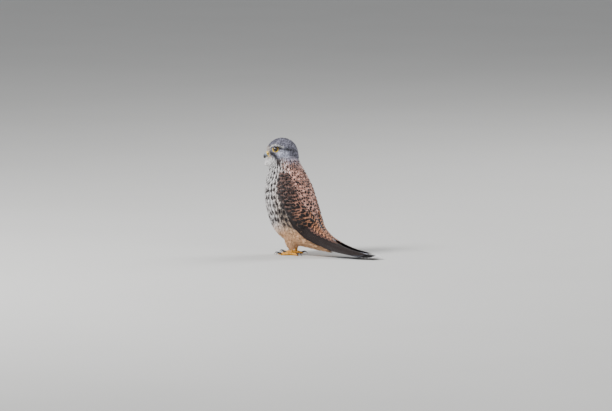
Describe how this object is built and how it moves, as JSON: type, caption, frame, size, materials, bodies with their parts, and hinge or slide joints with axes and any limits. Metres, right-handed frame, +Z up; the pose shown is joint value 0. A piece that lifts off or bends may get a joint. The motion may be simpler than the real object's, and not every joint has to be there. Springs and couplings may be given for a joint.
{
  "type": "common kestrel",
  "caption": "Small falcon standing upright with its head turned to its left, wings folded, and tail and wingtips laid out behind it on the ground.",
  "frame": {"origin": "on the floor under the middle of the whole bird's bounding box", "axes": "the bird faces -X, its left side is -Y, +Z is up"},
  "size_m": [0.2402, 0.0936, 0.2153],
  "materials": {
    "head_feathers": "soft grey feathers with fine dark streaks",
    "body_feathers": "soft feathers, rufous and spotted on the back, pale and streaked on the breast",
    "leg_feathers": "soft plain buff feathers",
    "wing_feathers": "smooth rufous coverts with dark bars and blackish flight feathers",
    "tail_feathers": "smooth grey vanes with a broad black bar and a white tip",
    "eye": "wet gloss over a very dark brown iris",
    "yellow_skin": "smooth waxy bare skin",
    "bill": "satin horn, blue grey to a black tip",
    "foot_skin": "scaly orange yellow skin",
    "claw": "satin black horn"
  },
  "bodies": {
    "root": {"head": "head_feathers", "neck": "body_feathers", "torso": "body_feathers", "thigh_left": "leg_feathers", "thigh_right": "leg_feathers", "wing_left": "wing_feathers", "wing_right": "wing_feathers", "tail": "tail_feathers", "eye_left": "eye", "eye_right": "eye", "eyelids_left": "yellow_skin", "eyelids_right": "yellow_skin", "cere": "yellow_skin", "bill_upper": "bill", "bill_lower": "bill", "foot_left": "foot_skin", "foot_right": "foot_skin", "claw_left_inner": "claw", "claw_left_middle": "claw", "claw_left_outer": "claw", "claw_left_hind": "claw", "claw_right_inner": "claw", "claw_right_middle": "claw", "claw_right_outer": "claw", "claw_right_hind": "claw"}
  },
  "joints": []
}
